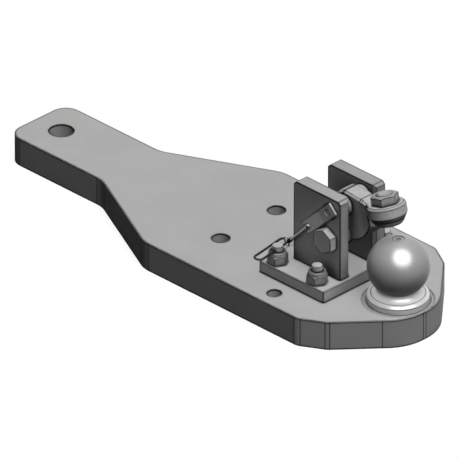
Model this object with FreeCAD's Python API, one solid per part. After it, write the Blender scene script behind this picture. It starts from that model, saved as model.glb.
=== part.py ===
import FreeCAD, Part

import math
import os

# Drawbar and tow-ball plate with a pivoting hold-down arm over the ball.
# Millimetres. The origin is the axis of the tail bore at the plate's underside,
# +X runs to the tow ball, +Z is up. The lock pin is drawn out towards -Y, the near side.

V = FreeCAD.Vector
UP = V(0, 0, 1)
ACROSS = V(0, 1, 0)

# Drawbar plate
PLATE_THICKNESS = 40.0
TAIL_OVERHANG = 45.0
TAIL_WIDTH = 105.0
TAIL_CORNER_RADIUS = 22.0
TAIL_BEND_X = 126.5
WIDE_BEND_X = 274.5
BEND_RADIUS = 40.0
WIDE_WIDTH = 250.0
SHOULDER_X = 547.5
SHOULDER_RADIUS = 18.0
KNEE_X = 582.5
KNEE_WIDTH = 210.5
KNEE_RADIUS = 18.0
NOSE_FRONT_X = 650.5
NOSE_FLAT = 4.6
NOSE_RADIUS = 70.0
PLATE_EDGE_BREAK = 0.5
TAIL_BORE_RADIUS = 15.5
MID_HOLE_X = 338.0
MID_HOLE_SPACING = 100.0
MID_HOLE_RADIUS = 11.0
FRONT_HOLE_X = 483.5
FRONT_HOLE_SPACING = 200.0
FRONT_HOLE_RADIUS = 8.7

# Tow ball, its seat in the plate and the ring nut that holds it from below
BALL_X = 603.5
BALL_RADIUS = 40.0
BALL_CENTRE_HEIGHT = 48.0
BALL_NECK_RADIUS = 26.8
BALL_FLANGE_RADIUS = 40.5
BALL_FLANGE_TOP = 10.2
BALL_FLANGE_ROUNDING = 5.9
BALL_SEAT_RADIUS = 45.8
BALL_SEAT_DEPTH = 0.6
BALL_SPIGOT_RADIUS = 25.0
BALL_SPIGOT_CLEARANCE = 0.1
BALL_THREAD_RADIUS = 22.5
POLE_RECESS_RADIUS = 7.5
POLE_RECESS_DEPTH = 0.8
CENTRE_HOLE_RADIUS = 3.3
CENTRE_HOLE_DEPTH = 2.4
CENTRE_HOLE_POINT = 1.5
RING_NUT_RADIUS = 36.0
RING_NUT_HEIGHT = 11.0
RING_NUT_CHAMFER = 1.2
RING_NUT_SLOT_WIDTH = 9.0
RING_NUT_SLOT_DEPTH = 5.0
RING_NUT_SLOTS = 4
RING_NUT_POCKET_CLEARANCE = 1.5
RING_NUT_RECESS = 1.5
THREAD_CLEARANCE = 0.1

# Bracket base and its studs
BASE_REAR_X = 432.3
BASE_LENGTH = 113.0
BASE_WIDTH = 150.0
BASE_THICKNESS = 16.0
BASE_EDGE_BREAK = 0.6
STUD_REAR_INSET = 18.2
STUD_FRONT_INSET = 24.8
STUD_SIDE_INSET = 14.0
STUD_RADIUS = 8.0
STUD_DEPTH = 25.0
STUD_POINT_RADIUS = 6.9
STUD_POINT_LENGTH = 8.6
STUD_CROWN = 1.5
STUD_HOLE_CLEARANCE = 0.5
STUD_NUT_ACROSS_FLATS = 24.0
STUD_NUT_HEIGHT = 17.0
STUD_NUT_HEX_HEIGHT = 12.3
STUD_NUT_SHOULDER = 1.6
STUD_NUT_COLLAR_RADIUS = 11.9
STUD_NUT_RIM_RADIUS = 11.3
STUD_NUT_RIM_CHAMFER = 0.8
NUT_FOOT_CHAMFER = 1.0

# Cheeks
CHEEK_REAR_INSET = 25.7
CHEEK_FRONT_INSET = 5.1
CHEEK_HEIGHT = 112.5
CHEEK_THICKNESS = 19.0
CHEEK_GAP = 42.0
CHEEK_TOP_CHAMFER = 4.0
CHEEK_INNER_CHAMFER = 4.3

# Pivot and lock axes of the hold-down arm
PIVOT_X = 519.0
PIVOT_HEIGHT = 68.8
LOCK_X = 521.0
LOCK_HEIGHT = 109.0
PIVOT_RADIUS = 10.0
PIVOT_CLEARANCE = 0.1
PIVOT_HEAD_ACROSS_FLATS = 30.0
PIVOT_HEAD_HEIGHT = 11.5
PIVOT_HEAD_FACE_RADIUS = 16.2
PIVOT_HEX_TURN = 30.0
PIVOT_NUT_HEIGHT = 16.0
PIVOT_END_PROUD = 4.0
PIVOT_CHAMFER = 1.5
PIVOT_BUSH_WALL = 2.5
SPACER_RADIUS = 14.5
LOCK_PIN_RADIUS = 10.0
LOCK_PIN_CLEARANCE = 0.25
LOCK_PIN_GRIP = 12.0
LOCK_PIN_CHAMFER = 2.0

# Hold-down arm
ARM_WIDTH = 26.0
ARM_SIDE_CLEARANCE = 0.3
ARM_LOBE_RADIUS = 18.5
ARM_HUB_RADIUS = 17.0
ARM_BELLY_RADIUS = 48.0
ARM_TOP_FALL = 4.5
ARM_CREASE_X = 551.0
ARM_TOP_CHAMFER_REAR = 0.7
ARM_TOP_CHAMFER_FRONT = 3.4
ARM_RIM_CHAMFER = 2.6
ARM_FLARE_RADIUS = 60.0
ARM_FLARE_START_X = 542.0

# Eye, thrust screw and pad; heights run along the tilted screw axis
EYE_X = 580.8
EYE_HEIGHT = 130.0
EYE_TILT = 15.0
EYE_RADIUS = 25.5
EYE_BAND = 14.3
EYE_FOOT_RADIUS = 22.4
EYE_THICKNESS = 19.7
SCREW_RADIUS = 10.0
SCREW_PROUD = 1.8
SCREW_CHAMFER = 1.5
SCREW_SPIGOT_RADIUS = 7.5
LOCK_NUT_ACROSS_FLATS = 32.0
LOCK_NUT_HEIGHT = 12.0
LOCK_NUT_SHOULDER = 1.6
LOCK_NUT_RIM_RADIUS = 13.2
LOCK_NUT_SEAT_CLEARANCE = 1.0
PAD_GAP = 0.4
PAD_RADIUS = 22.0
PAD_FOOT_RADIUS = 19.4
PAD_FACE_RADIUS = 17.5
PAD_DEPTH = 7.0
PAD_TAPER_DEPTH = 5.0
PAD_HOLLOW_DEPTH = 1.2
PAD_SOCKET_DEPTH = 4.5
PAD_RELIEF_DEPTH = 30.0

# Grip strap on the lock pin, and the wire tether between it and a stud
STRAP_CLEARANCE = 0.3
STRAP_ANGLE = 44.8
STRAP_WIDTH = 18.0
STRAP_THICKNESS = 4.0
STRAP_UPPER_LENGTH = 12.0
STRAP_BEND_LENGTH = 15.0
STRAP_LOWER_LENGTH = 34.0
STRAP_BEND_ANGLE = 8.5
STRAP_HOLE_RADIUS = 5.0
STRAP_RIVET_CLEARANCE = 0.1
STRAP_RIVET_RECESS = 2.0
STRAP_NOTCH_RADIUS = 3.6
STRAP_NOTCH_INSET = 6.0
CABLE_RADIUS = 2.0
CABLE_BALL_RADIUS = 2.8
CABLE_EYE_RADIUS = 4.2
CABLE_EYE_WIRE = 1.1
CABLE_EYE_CLEARANCE = 0.3
CABLE_FERRULE_RADIUS = 3.0
CABLE_FERRULE_LENGTH = 8.0
LOOP_WIRE_RADIUS = 1.5
LOOP_CLEARANCE = 0.25
LOOP_HOLE_HEIGHT = 1.9
LOOP_WIDTH = 12.0
LOOP_REACH_IN = 27.0
LOOP_REACH_OUT = 36.8
LOOP_TURN = 8.5

# Levels and places that follow from the sizes above
PLATE_TOP = PLATE_THICKNESS
BASE_TOP = PLATE_TOP + BASE_THICKNESS
STUD_NUT_TOP = BASE_TOP + STUD_NUT_HEIGHT
CHEEK_REAR_X = BASE_REAR_X + CHEEK_REAR_INSET
CHEEK_LENGTH = BASE_LENGTH - CHEEK_REAR_INSET - CHEEK_FRONT_INSET
CHEEK_INNER = CHEEK_GAP / 2
CHEEK_OUTER = CHEEK_INNER + CHEEK_THICKNESS
PIVOT = V(PIVOT_X, 0, PLATE_TOP + PIVOT_HEIGHT)
LOCK = V(LOCK_X, 0, PLATE_TOP + LOCK_HEIGHT)
EYE_TOP = V(EYE_X, 0, PLATE_TOP + EYE_HEIGHT)
EYE_PLACE = FreeCAD.Placement(EYE_TOP, FreeCAD.Rotation(ACROSS, -EYE_TILT))
STUDS = [V(x, side * (BASE_WIDTH / 2 - STUD_SIDE_INSET), 0) for side in (-1, 1)
         for x in (BASE_REAR_X + STUD_REAR_INSET, BASE_REAR_X + BASE_LENGTH - STUD_FRONT_INSET)]


def save(name, shape):
    """Write one solid as its own STEP file."""
    shape.exportStep("parts/" + name + ".step")


def rod(radius, start, end):
    """A round bar from one point to another."""
    return Part.makeCylinder(radius, (end - start).Length, start, end - start)


def across_rod(radius, centre, low, high):
    """A round bar along Y through a point, between two Y values."""
    return rod(radius, V(centre.x, low, centre.z), V(centre.x, high, centre.z))


def upright(radius, x, y, low, high):
    """A round bar along Z."""
    return rod(radius, V(x, y, low), V(x, y, high))


def block(low, high):
    """A plain box between two corners."""
    size = high - low
    return Part.makeBox(size.x, size.y, size.z, low)


def face_of(edges):
    """A flat face inside a closed run of edges."""
    return Part.Face(Part.Wire(Part.__sortEdges__([e.toShape() for e in edges])))


def polygon(points):
    """A flat face inside straight lines."""
    return Part.Face(Part.makePolygon(points + points[:1]))


def turned(edges):
    """A solid of revolution about Z from a profile in the XZ plane."""
    return face_of(edges).revolve(V(0, 0, 0), UP, 360.0)


def lines(points):
    """Straight edges through a run of points."""
    return [Part.LineSegment(a, b) for a, b in zip(points, points[1:])]


def turned_polygon(points):
    """A solid of revolution about Z from (radius, height) corners."""
    corners = [V(r, 0, z) for r, z in points]
    return turned(lines(corners + corners[:1]))


def rounded_outline(corners):
    """A face at Z 0 whose corners, given as (x, y, radius), are joined by tangent arcs."""
    starts, ends, arcs = [], [], []
    for i, (x, y, radius) in enumerate(corners):
        here = V(x, y, 0)
        back = (V(*corners[i - 1][:2], 0) - here).normalize()
        ahead = (V(*corners[(i + 1) % len(corners)][:2], 0) - here).normalize()
        half = back.getAngle(ahead) / 2
        reach = radius / math.tan(half)
        middle = here + (back + ahead).normalize() * (radius / math.sin(half) - radius)
        starts.append(here + back * reach)
        ends.append(here + ahead * reach)
        arcs.append(Part.Arc(starts[-1], middle, ends[-1]))
    joins = [Part.LineSegment(ends[i - 1], starts[i]) for i in range(len(corners))]
    return face_of(arcs + joins)


def hex_corner(across_flats):
    """Radius over the corners of a hexagon."""
    return across_flats / 2 / math.cos(math.pi / 6)


def hexagon(across_flats, height, shoulder, rim, foot_chamfer=0.0):
    """A hexagon bar along Z from Z 0, corners on the X axis, coned to a round rim on top."""
    corner = hex_corner(across_flats)
    points = [V(corner * math.cos(k * math.pi / 3), corner * math.sin(k * math.pi / 3), 0)
              for k in range(6)]
    bar = polygon(points).extrude(UP * height)
    foot = [(corner - foot_chamfer, 0), (corner, foot_chamfer)] if foot_chamfer else [(corner, 0)]
    cone = turned_polygon([(0, 0)] + foot + [(corner, height - shoulder), (rim, height), (0, height)])
    return bar.common(cone)


def placed(shape, origin, axis, turn=0.0):
    """A shape built along Z, turned about its own axis and laid along another at a point."""
    aim = FreeCAD.Rotation(UP, axis).multiply(FreeCAD.Rotation(UP, turn))
    copy = shape.copy()
    copy.Placement = FreeCAD.Placement(origin, aim)
    return copy


def at_eye(shape):
    """A shape built about the eye's own axis, moved to the eye."""
    copy = shape.copy()
    copy.Placement = EYE_PLACE
    return copy


def nose_corner():
    """Corner, before rounding, between the tapered side and the nose's short flat front."""
    centre = V(NOSE_FRONT_X - NOSE_RADIUS, NOSE_FLAT / 2, 0)
    knee = V(KNEE_X, KNEE_WIDTH / 2, 0) - centre
    touch = math.atan2(knee.y, knee.x) - math.acos(NOSE_RADIUS / knee.Length)
    return NOSE_FRONT_X, centre.y + NOSE_RADIUS * math.tan(touch / 2), NOSE_RADIUS


def plate_outline():
    """The symmetrical flame-cut outline: narrow tail, wide head and rounded nose."""
    side = [(-TAIL_OVERHANG, TAIL_WIDTH / 2, TAIL_CORNER_RADIUS),
            (TAIL_BEND_X, TAIL_WIDTH / 2, BEND_RADIUS),
            (WIDE_BEND_X, WIDE_WIDTH / 2, BEND_RADIUS),
            (SHOULDER_X, WIDE_WIDTH / 2, SHOULDER_RADIUS),
            (KNEE_X, KNEE_WIDTH / 2, KNEE_RADIUS),
            nose_corner()]
    other = [(x, -y, radius) for x, y, radius in reversed(side)]
    return rounded_outline(side + other)


def drawbar_plate():
    """The thick plate with its bores, stud holes and the stepped seat of the ball."""
    plate = plate_outline().extrude(UP * PLATE_THICKNESS)
    rim = [e for e in plate.Edges if e.BoundBox.ZLength < PLATE_EDGE_BREAK]
    plate = plate.makeChamfer(PLATE_EDGE_BREAK, rim)
    holes = [upright(TAIL_BORE_RADIUS, 0, 0, 0, PLATE_TOP)]
    for side in (-1, 1):
        holes.append(upright(MID_HOLE_RADIUS, MID_HOLE_X, side * MID_HOLE_SPACING / 2, 0, PLATE_TOP))
        holes.append(upright(FRONT_HOLE_RADIUS, FRONT_HOLE_X, side * FRONT_HOLE_SPACING / 2, 0, PLATE_TOP))
    for stud in STUDS:
        holes.append(upright(STUD_RADIUS + THREAD_CLEARANCE, stud.x, stud.y, PLATE_TOP - STUD_DEPTH, PLATE_TOP))
    holes.append(upright(BALL_SPIGOT_RADIUS + BALL_SPIGOT_CLEARANCE, BALL_X, 0, 0, PLATE_TOP))
    holes.append(upright(BALL_SEAT_RADIUS, BALL_X, 0, PLATE_TOP - BALL_SEAT_DEPTH, PLATE_TOP))
    holes.append(upright(RING_NUT_RADIUS + RING_NUT_POCKET_CLEARANCE, BALL_X, 0, 0, ring_nut_top()))
    return plate.cut(Part.makeCompound(holes))


def ring_nut_top():
    """Height of the ring nut's seat inside the plate's underside pocket."""
    return RING_NUT_RECESS + RING_NUT_HEIGHT


def tow_ball():
    """Forged ball, neck, flange and threaded spigot, turned in one piece."""
    centre = PLATE_TOP + BALL_CENTRE_HEIGHT
    flange_top = PLATE_TOP + BALL_FLANGE_TOP
    neck_z = centre - math.sqrt(BALL_RADIUS ** 2 - BALL_NECK_RADIUS ** 2)
    flare = neck_z - flange_top
    flare_centre = V(BALL_NECK_RADIUS + flare, 0, neck_z)
    diagonal = V(1, 0, 1).normalize()
    pole = centre + math.sqrt(BALL_RADIUS ** 2 - POLE_RECESS_RADIUS ** 2)
    recess = pole - POLE_RECESS_DEPTH
    drill = recess - CENTRE_HOLE_DEPTH
    edge = BALL_FLANGE_RADIUS - BALL_FLANGE_ROUNDING
    shelf = flange_top - BALL_FLANGE_ROUNDING
    seat = PLATE_TOP - BALL_SEAT_DEPTH
    foot = RING_NUT_RECESS
    bottom = [V(0, 0, drill - CENTRE_HOLE_POINT), V(CENTRE_HOLE_RADIUS, 0, drill),
              V(CENTRE_HOLE_RADIUS, 0, recess), V(POLE_RECESS_RADIUS, 0, recess),
              V(POLE_RECESS_RADIUS, 0, pole)]
    flare_end = flare_centre - UP * flare
    rounding = V(edge, 0, shelf) + diagonal * BALL_FLANGE_ROUNDING
    shank = [V(BALL_FLANGE_RADIUS, 0, shelf), V(BALL_FLANGE_RADIUS, 0, seat),
             V(BALL_SPIGOT_RADIUS, 0, seat), V(BALL_SPIGOT_RADIUS, 0, ring_nut_top()),
             V(BALL_THREAD_RADIUS, 0, ring_nut_top()), V(BALL_THREAD_RADIUS, 0, foot),
             V(0, 0, foot), bottom[0]]
    edges = lines(bottom) + [
        Part.Arc(bottom[-1], V(BALL_RADIUS, 0, centre), V(BALL_NECK_RADIUS, 0, neck_z)),
        Part.Arc(V(BALL_NECK_RADIUS, 0, neck_z), flare_centre - diagonal * flare, flare_end),
        Part.LineSegment(flare_end, V(edge, 0, flange_top)),
        Part.Arc(V(edge, 0, flange_top), rounding, shank[0])] + lines(shank)
    return placed(turned(edges), V(BALL_X, 0, 0), UP)


def ball_ring_nut():
    """Slotted ring nut that draws the ball's flange on to the plate."""
    outer, bevel, top = RING_NUT_RADIUS, RING_NUT_CHAMFER, RING_NUT_HEIGHT
    bore = BALL_THREAD_RADIUS + THREAD_CLEARANCE
    nut = turned_polygon([(bore, 0), (outer - bevel, 0), (outer, bevel), (outer, top), (bore, top)])
    slot = block(V(outer - RING_NUT_SLOT_DEPTH, -RING_NUT_SLOT_WIDTH / 2, 0),
                 V(outer + RING_NUT_SLOT_DEPTH, RING_NUT_SLOT_WIDTH / 2, top))
    for i in range(RING_NUT_SLOTS):
        nut = nut.cut(placed(slot, V(0, 0, 0), UP, 360.0 * i / RING_NUT_SLOTS))
    return placed(nut, V(BALL_X, 0, RING_NUT_RECESS), UP)


def bracket_base():
    """The bracket's flat base with four stud holes."""
    half = BASE_WIDTH / 2
    base = block(V(BASE_REAR_X, -half, PLATE_TOP), V(BASE_REAR_X + BASE_LENGTH, half, BASE_TOP))
    rim = [e for e in base.Edges if e.BoundBox.ZMin > BASE_TOP - BASE_EDGE_BREAK]
    base = base.makeChamfer(BASE_EDGE_BREAK, rim)
    hole = STUD_RADIUS + STUD_HOLE_CLEARANCE
    return base.cut(Part.makeCompound([upright(hole, s.x, s.y, PLATE_TOP, BASE_TOP) for s in STUDS]))


def cheek(side):
    """One upright cheek, bored for the pivot bolt and the lock pin."""
    front, top = CHEEK_REAR_X + CHEEK_LENGTH, BASE_TOP + CHEEK_HEIGHT
    low, high = sorted((side * CHEEK_INNER, side * CHEEK_OUTER))
    plate = block(V(CHEEK_REAR_X, low, BASE_TOP), V(front, high, top))
    inner = side * CHEEK_INNER
    corner = polygon([V(front - CHEEK_INNER_CHAMFER, inner, BASE_TOP), V(front, inner, BASE_TOP),
                      V(front, inner + side * CHEEK_INNER_CHAMFER, BASE_TOP)]).extrude(UP * CHEEK_HEIGHT)
    bevels = [polygon([V(x - turn * CHEEK_TOP_CHAMFER, low, top), V(x, low, top),
                       V(x, low, top - CHEEK_TOP_CHAMFER)]).extrude(ACROSS * CHEEK_THICKNESS)
              for x, turn in ((front, 1), (CHEEK_REAR_X, -1))]
    holes = [across_rod(PIVOT_RADIUS + PIVOT_CLEARANCE, PIVOT, low, high),
             across_rod(LOCK_PIN_RADIUS + LOCK_PIN_CLEARANCE, LOCK, low, high)]
    return plate.cut(Part.makeCompound([corner] + bevels)).cut(Part.makeCompound(holes))


def base_stud(place):
    """A stud in the drawbar plate with a turned, crowned point above its nut."""
    low = PLATE_TOP - STUD_DEPTH
    top = STUD_NUT_TOP + STUD_POINT_LENGTH
    shoulder = V(STUD_POINT_RADIUS, 0, top - STUD_CROWN)
    ball = (STUD_POINT_RADIUS ** 2 + STUD_CROWN ** 2) / (2 * STUD_CROWN)
    half = math.asin(STUD_POINT_RADIUS / ball) / 2
    middle = V(ball * math.sin(half), 0, top - ball * (1 - math.cos(half)))
    shank = [V(0, 0, top), V(0, 0, low), V(STUD_RADIUS, 0, low), V(STUD_RADIUS, 0, STUD_NUT_TOP),
             V(STUD_POINT_RADIUS, 0, STUD_NUT_TOP), shoulder]
    return placed(turned(lines(shank) + [Part.Arc(shoulder, middle, shank[0])]), place, UP)


def bored_nut(bar, height, thread_radius):
    """A hexagon bar made a nut, with its thread as a plain bore."""
    return bar.cut(upright(thread_radius + THREAD_CLEARANCE, 0, 0, 0, height))


def base_nut(place):
    """The self-locking nut on a base stud: a hexagon with a round collar that tapers to its rim."""
    bar = hexagon(STUD_NUT_ACROSS_FLATS, STUD_NUT_HEX_HEIGHT, STUD_NUT_SHOULDER, STUD_NUT_COLLAR_RADIUS,
                  NUT_FOOT_CHAMFER)
    rim = STUD_NUT_RIM_RADIUS - STUD_NUT_RIM_CHAMFER
    collar = turned_polygon([(0, 0), (STUD_NUT_COLLAR_RADIUS, 0), (STUD_NUT_COLLAR_RADIUS, STUD_NUT_HEX_HEIGHT),
                             (STUD_NUT_RIM_RADIUS, STUD_NUT_HEIGHT - STUD_NUT_RIM_CHAMFER),
                             (rim, STUD_NUT_HEIGHT), (0, STUD_NUT_HEIGHT)])
    nut = bored_nut(bar.fuse(collar).removeSplitter(), STUD_NUT_HEIGHT, STUD_RADIUS)
    return placed(nut, place + UP * BASE_TOP, UP)


def pivot_bolt():
    """The arm's pivot bolt, head on the near cheek."""
    head = hexagon(PIVOT_HEAD_ACROSS_FLATS, PIVOT_HEAD_HEIGHT, PIVOT_CHAMFER, PIVOT_HEAD_FACE_RADIUS)
    head = placed(head, V(PIVOT.x, -CHEEK_OUTER, PIVOT.z), -ACROSS, PIVOT_HEX_TURN)
    end = CHEEK_OUTER + PIVOT_NUT_HEIGHT + PIVOT_END_PROUD
    length = end + CHEEK_OUTER
    shank = turned_polygon([(0, 0), (PIVOT_RADIUS, 0), (PIVOT_RADIUS, length - PIVOT_CHAMFER),
                            (PIVOT_RADIUS - PIVOT_CHAMFER, length), (0, length)])
    return head.fuse(placed(shank, V(PIVOT.x, -CHEEK_OUTER, PIVOT.z), ACROSS)).removeSplitter()


def pivot_nut():
    """The pivot bolt's nut on the far cheek."""
    bar = hexagon(PIVOT_HEAD_ACROSS_FLATS, PIVOT_NUT_HEIGHT, PIVOT_CHAMFER, PIVOT_HEAD_FACE_RADIUS,
                  NUT_FOOT_CHAMFER)
    nut = bored_nut(bar, PIVOT_NUT_HEIGHT, PIVOT_RADIUS)
    return placed(nut, V(PIVOT.x, CHEEK_OUTER, PIVOT.z), ACROSS, PIVOT_HEX_TURN)


def pivot_spacer(side):
    """A thrust ring between the arm's hub and a cheek."""
    low, high = sorted((side * (ARM_WIDTH / 2 + ARM_SIDE_CLEARANCE), side * CHEEK_INNER))
    ring = across_rod(SPACER_RADIUS, PIVOT, low, high)
    return ring.cut(across_rod(PIVOT_RADIUS + PIVOT_CLEARANCE, PIVOT, low, high))


def pivot_bush():
    """The bush pressed into the arm's hub."""
    half = ARM_WIDTH / 2
    bush = across_rod(PIVOT_RADIUS + PIVOT_CLEARANCE + PIVOT_BUSH_WALL, PIVOT, -half, half)
    return bush.cut(across_rod(PIVOT_RADIUS + PIVOT_CLEARANCE, PIVOT, -half, half))


def crossing(a, along_a, b, along_b):
    """Where two lines in the XZ plane meet."""
    det = along_a.x * along_b.z - along_a.z * along_b.x
    gap = b - a
    return a + along_a * ((gap.x * along_b.z - gap.z * along_b.x) / det)


def downhill(degrees):
    """A direction that runs towards +X and falls by an angle."""
    angle = math.radians(degrees)
    return V(math.cos(angle), 0, -math.sin(angle))


def arm_side_profile():
    """The arm seen from its side: rear lobe, flat top, eye slab and round belly."""
    axis = EYE_PLACE.Rotation.multVec(UP)
    along = EYE_PLACE.Rotation.multVec(V(1, 0, 0))
    top = LOCK + UP * ARM_LOBE_RADIUS
    crease = crossing(top, downhill(ARM_TOP_FALL), V(ARM_CREASE_X, 0, 0), UP)
    land = crossing(crease, V(1, 0, 0), EYE_TOP, along)
    front = EYE_TOP + along * EYE_RADIUS * 2
    under = EYE_TOP - axis * EYE_THICKNESS
    offset = under - LOCK
    run = offset.dot(along)
    belly_front = under + along * (math.sqrt(run ** 2 - offset.dot(offset) + ARM_BELLY_RADIUS ** 2) - run)
    hub_rear = PIVOT.x - ARM_HUB_RADIUS
    drop = math.sqrt(ARM_BELLY_RADIUS ** 2 - (hub_rear - LOCK.x) ** 2)
    belly_rear = V(hub_rear, 0, LOCK.z - drop)
    belly_mid = LOCK + ((belly_front - LOCK) + (belly_rear - LOCK)).normalize() * ARM_BELLY_RADIUS
    rear = LOCK - V(ARM_LOBE_RADIUS, 0, 0)
    lobe_mid = LOCK + V(-1, 0, 1).normalize() * ARM_LOBE_RADIUS
    edges = lines([top, crease, land, front, front - axis * EYE_THICKNESS, belly_front])
    edges.append(Part.Arc(belly_front, belly_mid, belly_rear))
    edges += lines([belly_rear, rear])
    edges.append(Part.Arc(rear, lobe_mid, top))
    return face_of(edges)


def arm_plan():
    """The arm seen along the eye's axis: straight neck that flares out to the round eye."""
    half = ARM_WIDTH / 2
    start = (ARM_FLARE_START_X - EYE_X) / math.cos(math.radians(EYE_TILT))
    centre_y = half + ARM_FLARE_RADIUS
    distance = math.hypot(start, centre_y)
    reach = (distance ** 2 + ARM_FLARE_RADIUS ** 2 - EYE_RADIUS ** 2) / (2 * ARM_FLARE_RADIUS)
    sweep = math.atan2(-start, centre_y) - math.acos(reach / distance)
    tall = CHEEK_HEIGHT
    neck = block(V(start - CHEEK_LENGTH, -half, -tall), V(0, half, tall))
    plan = neck.fuse(upright(EYE_RADIUS, 0, 0, -tall, tall))
    for side in (-1, 1):
        bend = [V(start + ARM_FLARE_RADIUS * math.sin(angle),
                  side * (centre_y - ARM_FLARE_RADIUS * math.cos(angle)), -tall)
                for angle in (0, sweep / 2, sweep)]
        flare = face_of([Part.Arc(*bend)]
                        + lines([bend[-1], V(0, 0, -tall), V(start, 0, -tall), bend[0]]))
        plan = plan.fuse(flare.extrude(UP * 2 * tall))
    return at_eye(plan)


def arm_top_bevels():
    """Cutters for the bevels along the arm's sloping top, which widen towards the eye."""
    half = ARM_WIDTH / 2
    top = LOCK + UP * ARM_LOBE_RADIUS
    run = downhill(ARM_TOP_FALL) * ((ARM_CREASE_X - LOCK.x) / downhill(ARM_TOP_FALL).x)
    cutters = []
    for side in (-1, 1):
        sections = []
        for base, size in ((top, ARM_TOP_CHAMFER_REAR), (top + run, ARM_TOP_CHAMFER_FRONT)):
            corners = [base + V(0, side * (half - size), 0), base + V(0, side * (half + size), 0),
                       base + V(0, side * (half + size), -2 * size)]
            sections.append(Part.makePolygon(corners + corners[:1]))
        cutters.append(Part.makeLoft(sections, True, True))
    return Part.makeCompound(cutters)


def arm_rims(arm):
    """The top edges of the neck's flare and of the eye, which are chamfered as one run."""
    axis = EYE_PLACE.Rotation.multVec(UP)
    rims = []
    for face in arm.Faces:
        if face.Surface.TypeId != "Part::GeomPlane" or face.CenterOfMass.x < ARM_CREASE_X:
            continue
        normal = face.normalAt(0, 0)
        if normal.getAngle(axis) > math.radians(2 * EYE_TILT):
            continue
        for edge in face.Edges:
            ends = [vertex.Point for vertex in edge.Vertexes]
            if abs(ends[0].x - ends[-1].x) > ARM_RIM_CHAMFER:
                rims.append(edge)
    return rims


def hold_down_arm():
    """The cast arm: hub, lock lobe with its bosses, flared neck and tapped eye."""
    half = ARM_WIDTH / 2
    wide = ACROSS * 2 * EYE_RADIUS
    side = arm_side_profile()
    side.translate(wide * -1)
    arm = side.extrude(wide * 2).common(arm_plan()).removeSplitter()
    arm = arm.makeChamfer(ARM_RIM_CHAMFER, arm_rims(arm))
    arm = arm.cut(arm_top_bevels())
    below = -EYE_THICKNESS - PAD_RELIEF_DEPTH
    relief = turned_polygon([(0, -EYE_THICKNESS), (EYE_FOOT_RADIUS, -EYE_THICKNESS),
                             (EYE_RADIUS, -EYE_BAND), (2 * EYE_RADIUS, -EYE_BAND),
                             (2 * EYE_RADIUS, below), (0, below)])
    relief = relief.common(upright(EYE_RADIUS, 0, 0, below, 0))
    bore = upright(SCREW_RADIUS + THREAD_CLEARANCE, 0, 0, -EYE_THICKNESS, EYE_RADIUS)
    seat = upright(hex_corner(LOCK_NUT_ACROSS_FLATS) + LOCK_NUT_SEAT_CLEARANCE, 0, 0, 0, CHEEK_HEIGHT)
    arm = arm.cut(at_eye(Part.makeCompound([relief, bore, seat])))
    boss = CHEEK_INNER - ARM_SIDE_CLEARANCE
    arm = arm.fuse(across_rod(ARM_HUB_RADIUS, PIVOT, -half, half))
    arm = arm.fuse(across_rod(SPACER_RADIUS, LOCK, -boss, boss)).removeSplitter()
    bush = PIVOT_RADIUS + PIVOT_CLEARANCE + PIVOT_BUSH_WALL
    return arm.cut(Part.makeCompound([across_rod(bush, PIVOT, -boss, boss),
                                      across_rod(LOCK_PIN_RADIUS + LOCK_PIN_CLEARANCE, LOCK, -boss, boss)]))


def lock_nut():
    """The thin nut that locks the thrust screw on top of the eye."""
    bar = hexagon(LOCK_NUT_ACROSS_FLATS, LOCK_NUT_HEIGHT, LOCK_NUT_SHOULDER, LOCK_NUT_RIM_RADIUS)
    return at_eye(bored_nut(bar, LOCK_NUT_HEIGHT, SCREW_RADIUS))


def pad_top():
    """Height of the pad's top face on the screw's axis."""
    return -EYE_THICKNESS - PAD_GAP


def thrust_screw():
    """The adjusting screw through the eye, with a spigot for the pad."""
    top = LOCK_NUT_HEIGHT + SCREW_PROUD
    foot = pad_top() - PAD_SOCKET_DEPTH
    return at_eye(turned_polygon([(0, foot), (SCREW_SPIGOT_RADIUS, foot), (SCREW_SPIGOT_RADIUS, pad_top()),
                                  (SCREW_RADIUS, pad_top()), (SCREW_RADIUS, top - SCREW_CHAMFER),
                                  (SCREW_RADIUS - SCREW_CHAMFER, top), (0, top)]))


def thrust_pad():
    """The tapered pad that presses on the coupling over the ball."""
    top = pad_top()
    foot = top - PAD_DEPTH
    socket = top - PAD_SOCKET_DEPTH
    cup = (PAD_FACE_RADIUS ** 2 + PAD_HOLLOW_DEPTH ** 2) / (2 * PAD_HOLLOW_DEPTH)
    hollow = V(0, 0, foot + PAD_HOLLOW_DEPTH)
    half = math.asin(PAD_FACE_RADIUS / cup) / 2
    middle = hollow + V(cup * math.sin(half), 0, cup * (math.cos(half) - 1))
    rim = [V(SCREW_SPIGOT_RADIUS, 0, top), V(PAD_RADIUS, 0, top),
           V(PAD_FOOT_RADIUS, 0, top - PAD_TAPER_DEPTH), V(PAD_FACE_RADIUS, 0, foot)]
    edges = lines(rim) + [Part.Arc(rim[-1], middle, hollow)]
    edges += lines([hollow, V(0, 0, socket), V(SCREW_SPIGOT_RADIUS, 0, socket), rim[0]])
    return at_eye(turned(edges))


def lock_pin():
    """The pin through both cheeks and the arm, riveted into the strap."""
    inner = -CHEEK_OUTER - STRAP_CLEARANCE
    rivet = STRAP_THICKNESS - STRAP_RIVET_RECESS
    tip = CHEEK_INNER + LOCK_PIN_GRIP - inner
    neck = STRAP_HOLE_RADIUS - STRAP_RIVET_CLEARANCE
    pin = turned_polygon([(0, -rivet), (neck, -rivet), (neck, 0), (LOCK_PIN_RADIUS, 0),
                          (LOCK_PIN_RADIUS, tip - LOCK_PIN_CHAMFER),
                          (LOCK_PIN_RADIUS - LOCK_PIN_CHAMFER, tip), (0, tip)])
    return placed(pin, V(LOCK.x, inner, LOCK.z), ACROSS)


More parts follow.
